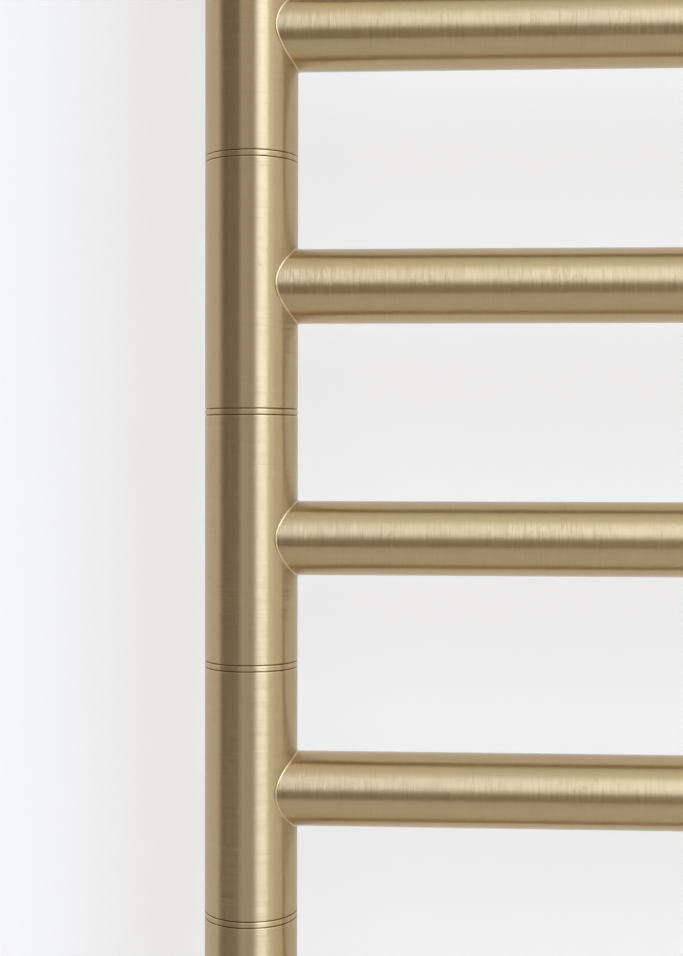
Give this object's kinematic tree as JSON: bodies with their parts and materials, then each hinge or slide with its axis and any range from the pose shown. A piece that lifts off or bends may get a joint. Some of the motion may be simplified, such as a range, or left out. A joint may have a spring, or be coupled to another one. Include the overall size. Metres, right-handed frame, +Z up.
{
  "type": "electric heated towel rail",
  "caption": "Ladder-shaped electric towel rail: round tubes coped onto round posts that carry fine paired grooves, on wall brackets with cover roses, with a push button in the foot of a post.",
  "frame": {"origin": "centre of the four wall brackets, on the wall's face", "axes": "+X along the rails to the right as seen from the room, +Y into the wall, +Z up"},
  "size_m": [0.545, 0.0909, 0.6081],
  "materials": {
    "brushed_brass": "brushed round the tubes",
    "zinc_plated_steel": "satin",
    "silicone": "satin",
    "limiter_case": "satin",
    "black_plastic": "matte",
    "white_plastic": "matte",
    "clear_lens": "frosted",
    "black_rubber": "matte"
  },
  "bodies": {
    "towel_rail": {"button_spring": "zinc_plated_steel", "cable_end_seal": "silicone", "earth_screw": "zinc_plated_steel", "grub_screws": "zinc_plated_steel", "heating_cable": "silicone", "left_coupler_1": "brushed_brass", "left_coupler_2": "brushed_brass", "left_coupler_3": "brushed_brass", "left_coupler_4": "brushed_brass", "left_coupler_5": "brushed_brass", "left_coupler_6": "brushed_brass", "left_foot_cap": "brushed_brass", "left_post_segment_1": "brushed_brass", "left_post_segment_2": "brushed_brass", "left_post_segment_3": "brushed_brass", "left_post_segment_4": "brushed_brass", "left_post_segment_5": "brushed_brass", "left_post_segment_6": "brushed_brass", "left_post_segment_7": "brushed_brass", "left_top_cap": "brushed_brass", "light_ring": "clear_lens", "lower_left_cover_rose": "brushed_brass", "lower_left_standoff": "brushed_brass", "lower_left_wall_plate": "zinc_plated_steel", "lower_right_cover_rose": "brushed_brass", "lower_right_standoff": "brushed_brass", "lower_right_wall_plate": "zinc_plated_steel", "rail_1": "brushed_brass", "rail_2": "brushed_brass", "rail_3": "brushed_brass", "rail_4": "brushed_brass", "rail_5": "brushed_brass", "rail_6": "brushed_brass", "rail_7": "brushed_brass", "right_coupler_1": "brushed_brass", "right_coupler_2": "brushed_brass", "right_coupler_3": "brushed_brass", "right_coupler_4": "brushed_brass", "right_coupler_5": "brushed_brass", "right_coupler_6": "brushed_brass", "right_foot_cap": "brushed_brass", "right_post_segment_1": "brushed_brass", "right_post_segment_2": "brushed_brass", "right_post_segment_3": "brushed_brass", "right_post_segment_4": "brushed_brass", "right_post_segment_5": "brushed_brass", "right_post_segment_6": "brushed_brass", "right_post_segment_7": "brushed_brass", "right_top_cap": "brushed_brass", "supply_gland": "black_rubber", "switch_body": "black_plastic", "terminal_block": "white_plastic", "thermal_limiter": "limiter_case", "upper_left_cover_rose": "brushed_brass", "upper_left_standoff": "brushed_brass", "upper_left_wall_plate": "zinc_plated_steel", "upper_right_cover_rose": "brushed_brass", "upper_right_standoff": "brushed_brass", "upper_right_wall_plate": "zinc_plated_steel"},
    "power_button": {"power_button": "brushed_brass"}
  },
  "joints": [
    {"name": "button_press", "type": "slide", "parent": "towel_rail", "child": "power_button", "axis": [0, 0, 1], "range_m": [0, 0.002], "stiffness_N_per_m": 600, "springref_m": -0.002, "deforming": ["button_spring"]}
  ]
}
